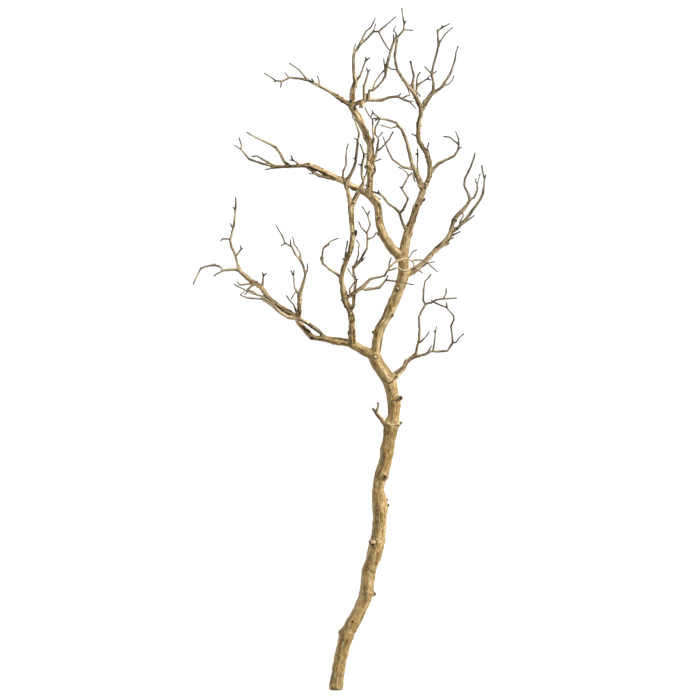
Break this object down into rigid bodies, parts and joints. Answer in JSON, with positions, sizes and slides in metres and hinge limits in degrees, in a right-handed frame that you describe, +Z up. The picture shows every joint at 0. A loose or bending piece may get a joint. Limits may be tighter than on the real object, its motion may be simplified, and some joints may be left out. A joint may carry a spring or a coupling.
{
  "type": "manzanita branch",
  "caption": "Cut manzanita branch with its bark gone: a crooked tan trunk that forks into limbs and fine bare twigs, lying down.",
  "frame": {"origin": "on the table, under the middle of the branch's bounding box", "axes": "+Y along the branch from its cut butt to its twig tips, +X to the right seen from above with the butt towards the viewer, +Z up from the table"},
  "size_m": [0.3948, 0.914, 0.1643],
  "materials": {
    "limb_wood": "dry peeled wood, golden tan with dark streaks and knots, matt",
    "twig_wood": "dry peeled wood, olive brown with grey broken tips, matt"
  },
  "bodies": {
    "root": {"trunk": "limb_wood", "right_spur": "limb_wood", "right_spur_outer": "twig_wood", "left_limb": "limb_wood", "left_outer_limb": "twig_wood", "left_upper_tip": "twig_wood", "left_lower_tip": "twig_wood", "left_front_branch": "twig_wood", "left_inner_branch": "twig_wood", "centre_limb": "limb_wood", "centre_leader": "twig_wood", "centre_right_top": "twig_wood", "centre_side_stem": "twig_wood", "front_branch": "twig_wood", "right_limb": "limb_wood", "outer_limb": "limb_wood", "outer_limb_inner_prong": "twig_wood", "outer_limb_outer_prong": "twig_wood", "left_leader": "limb_wood", "side_arm": "limb_wood", "side_arm_tip": "twig_wood", "upper_leader": "limb_wood", "top_left_arm": "twig_wood", "top_stem": "twig_wood", "top_cross_arm": "twig_wood", "top_ladder": "twig_wood", "right_leader": "limb_wood", "right_leader_top": "twig_wood", "right_side_branch": "twig_wood", "inner_branch": "twig_wood", "inner_twig": "twig_wood", "top_right_stem": "twig_wood", "far_right_stem": "twig_wood"}
  },
  "joints": []
}
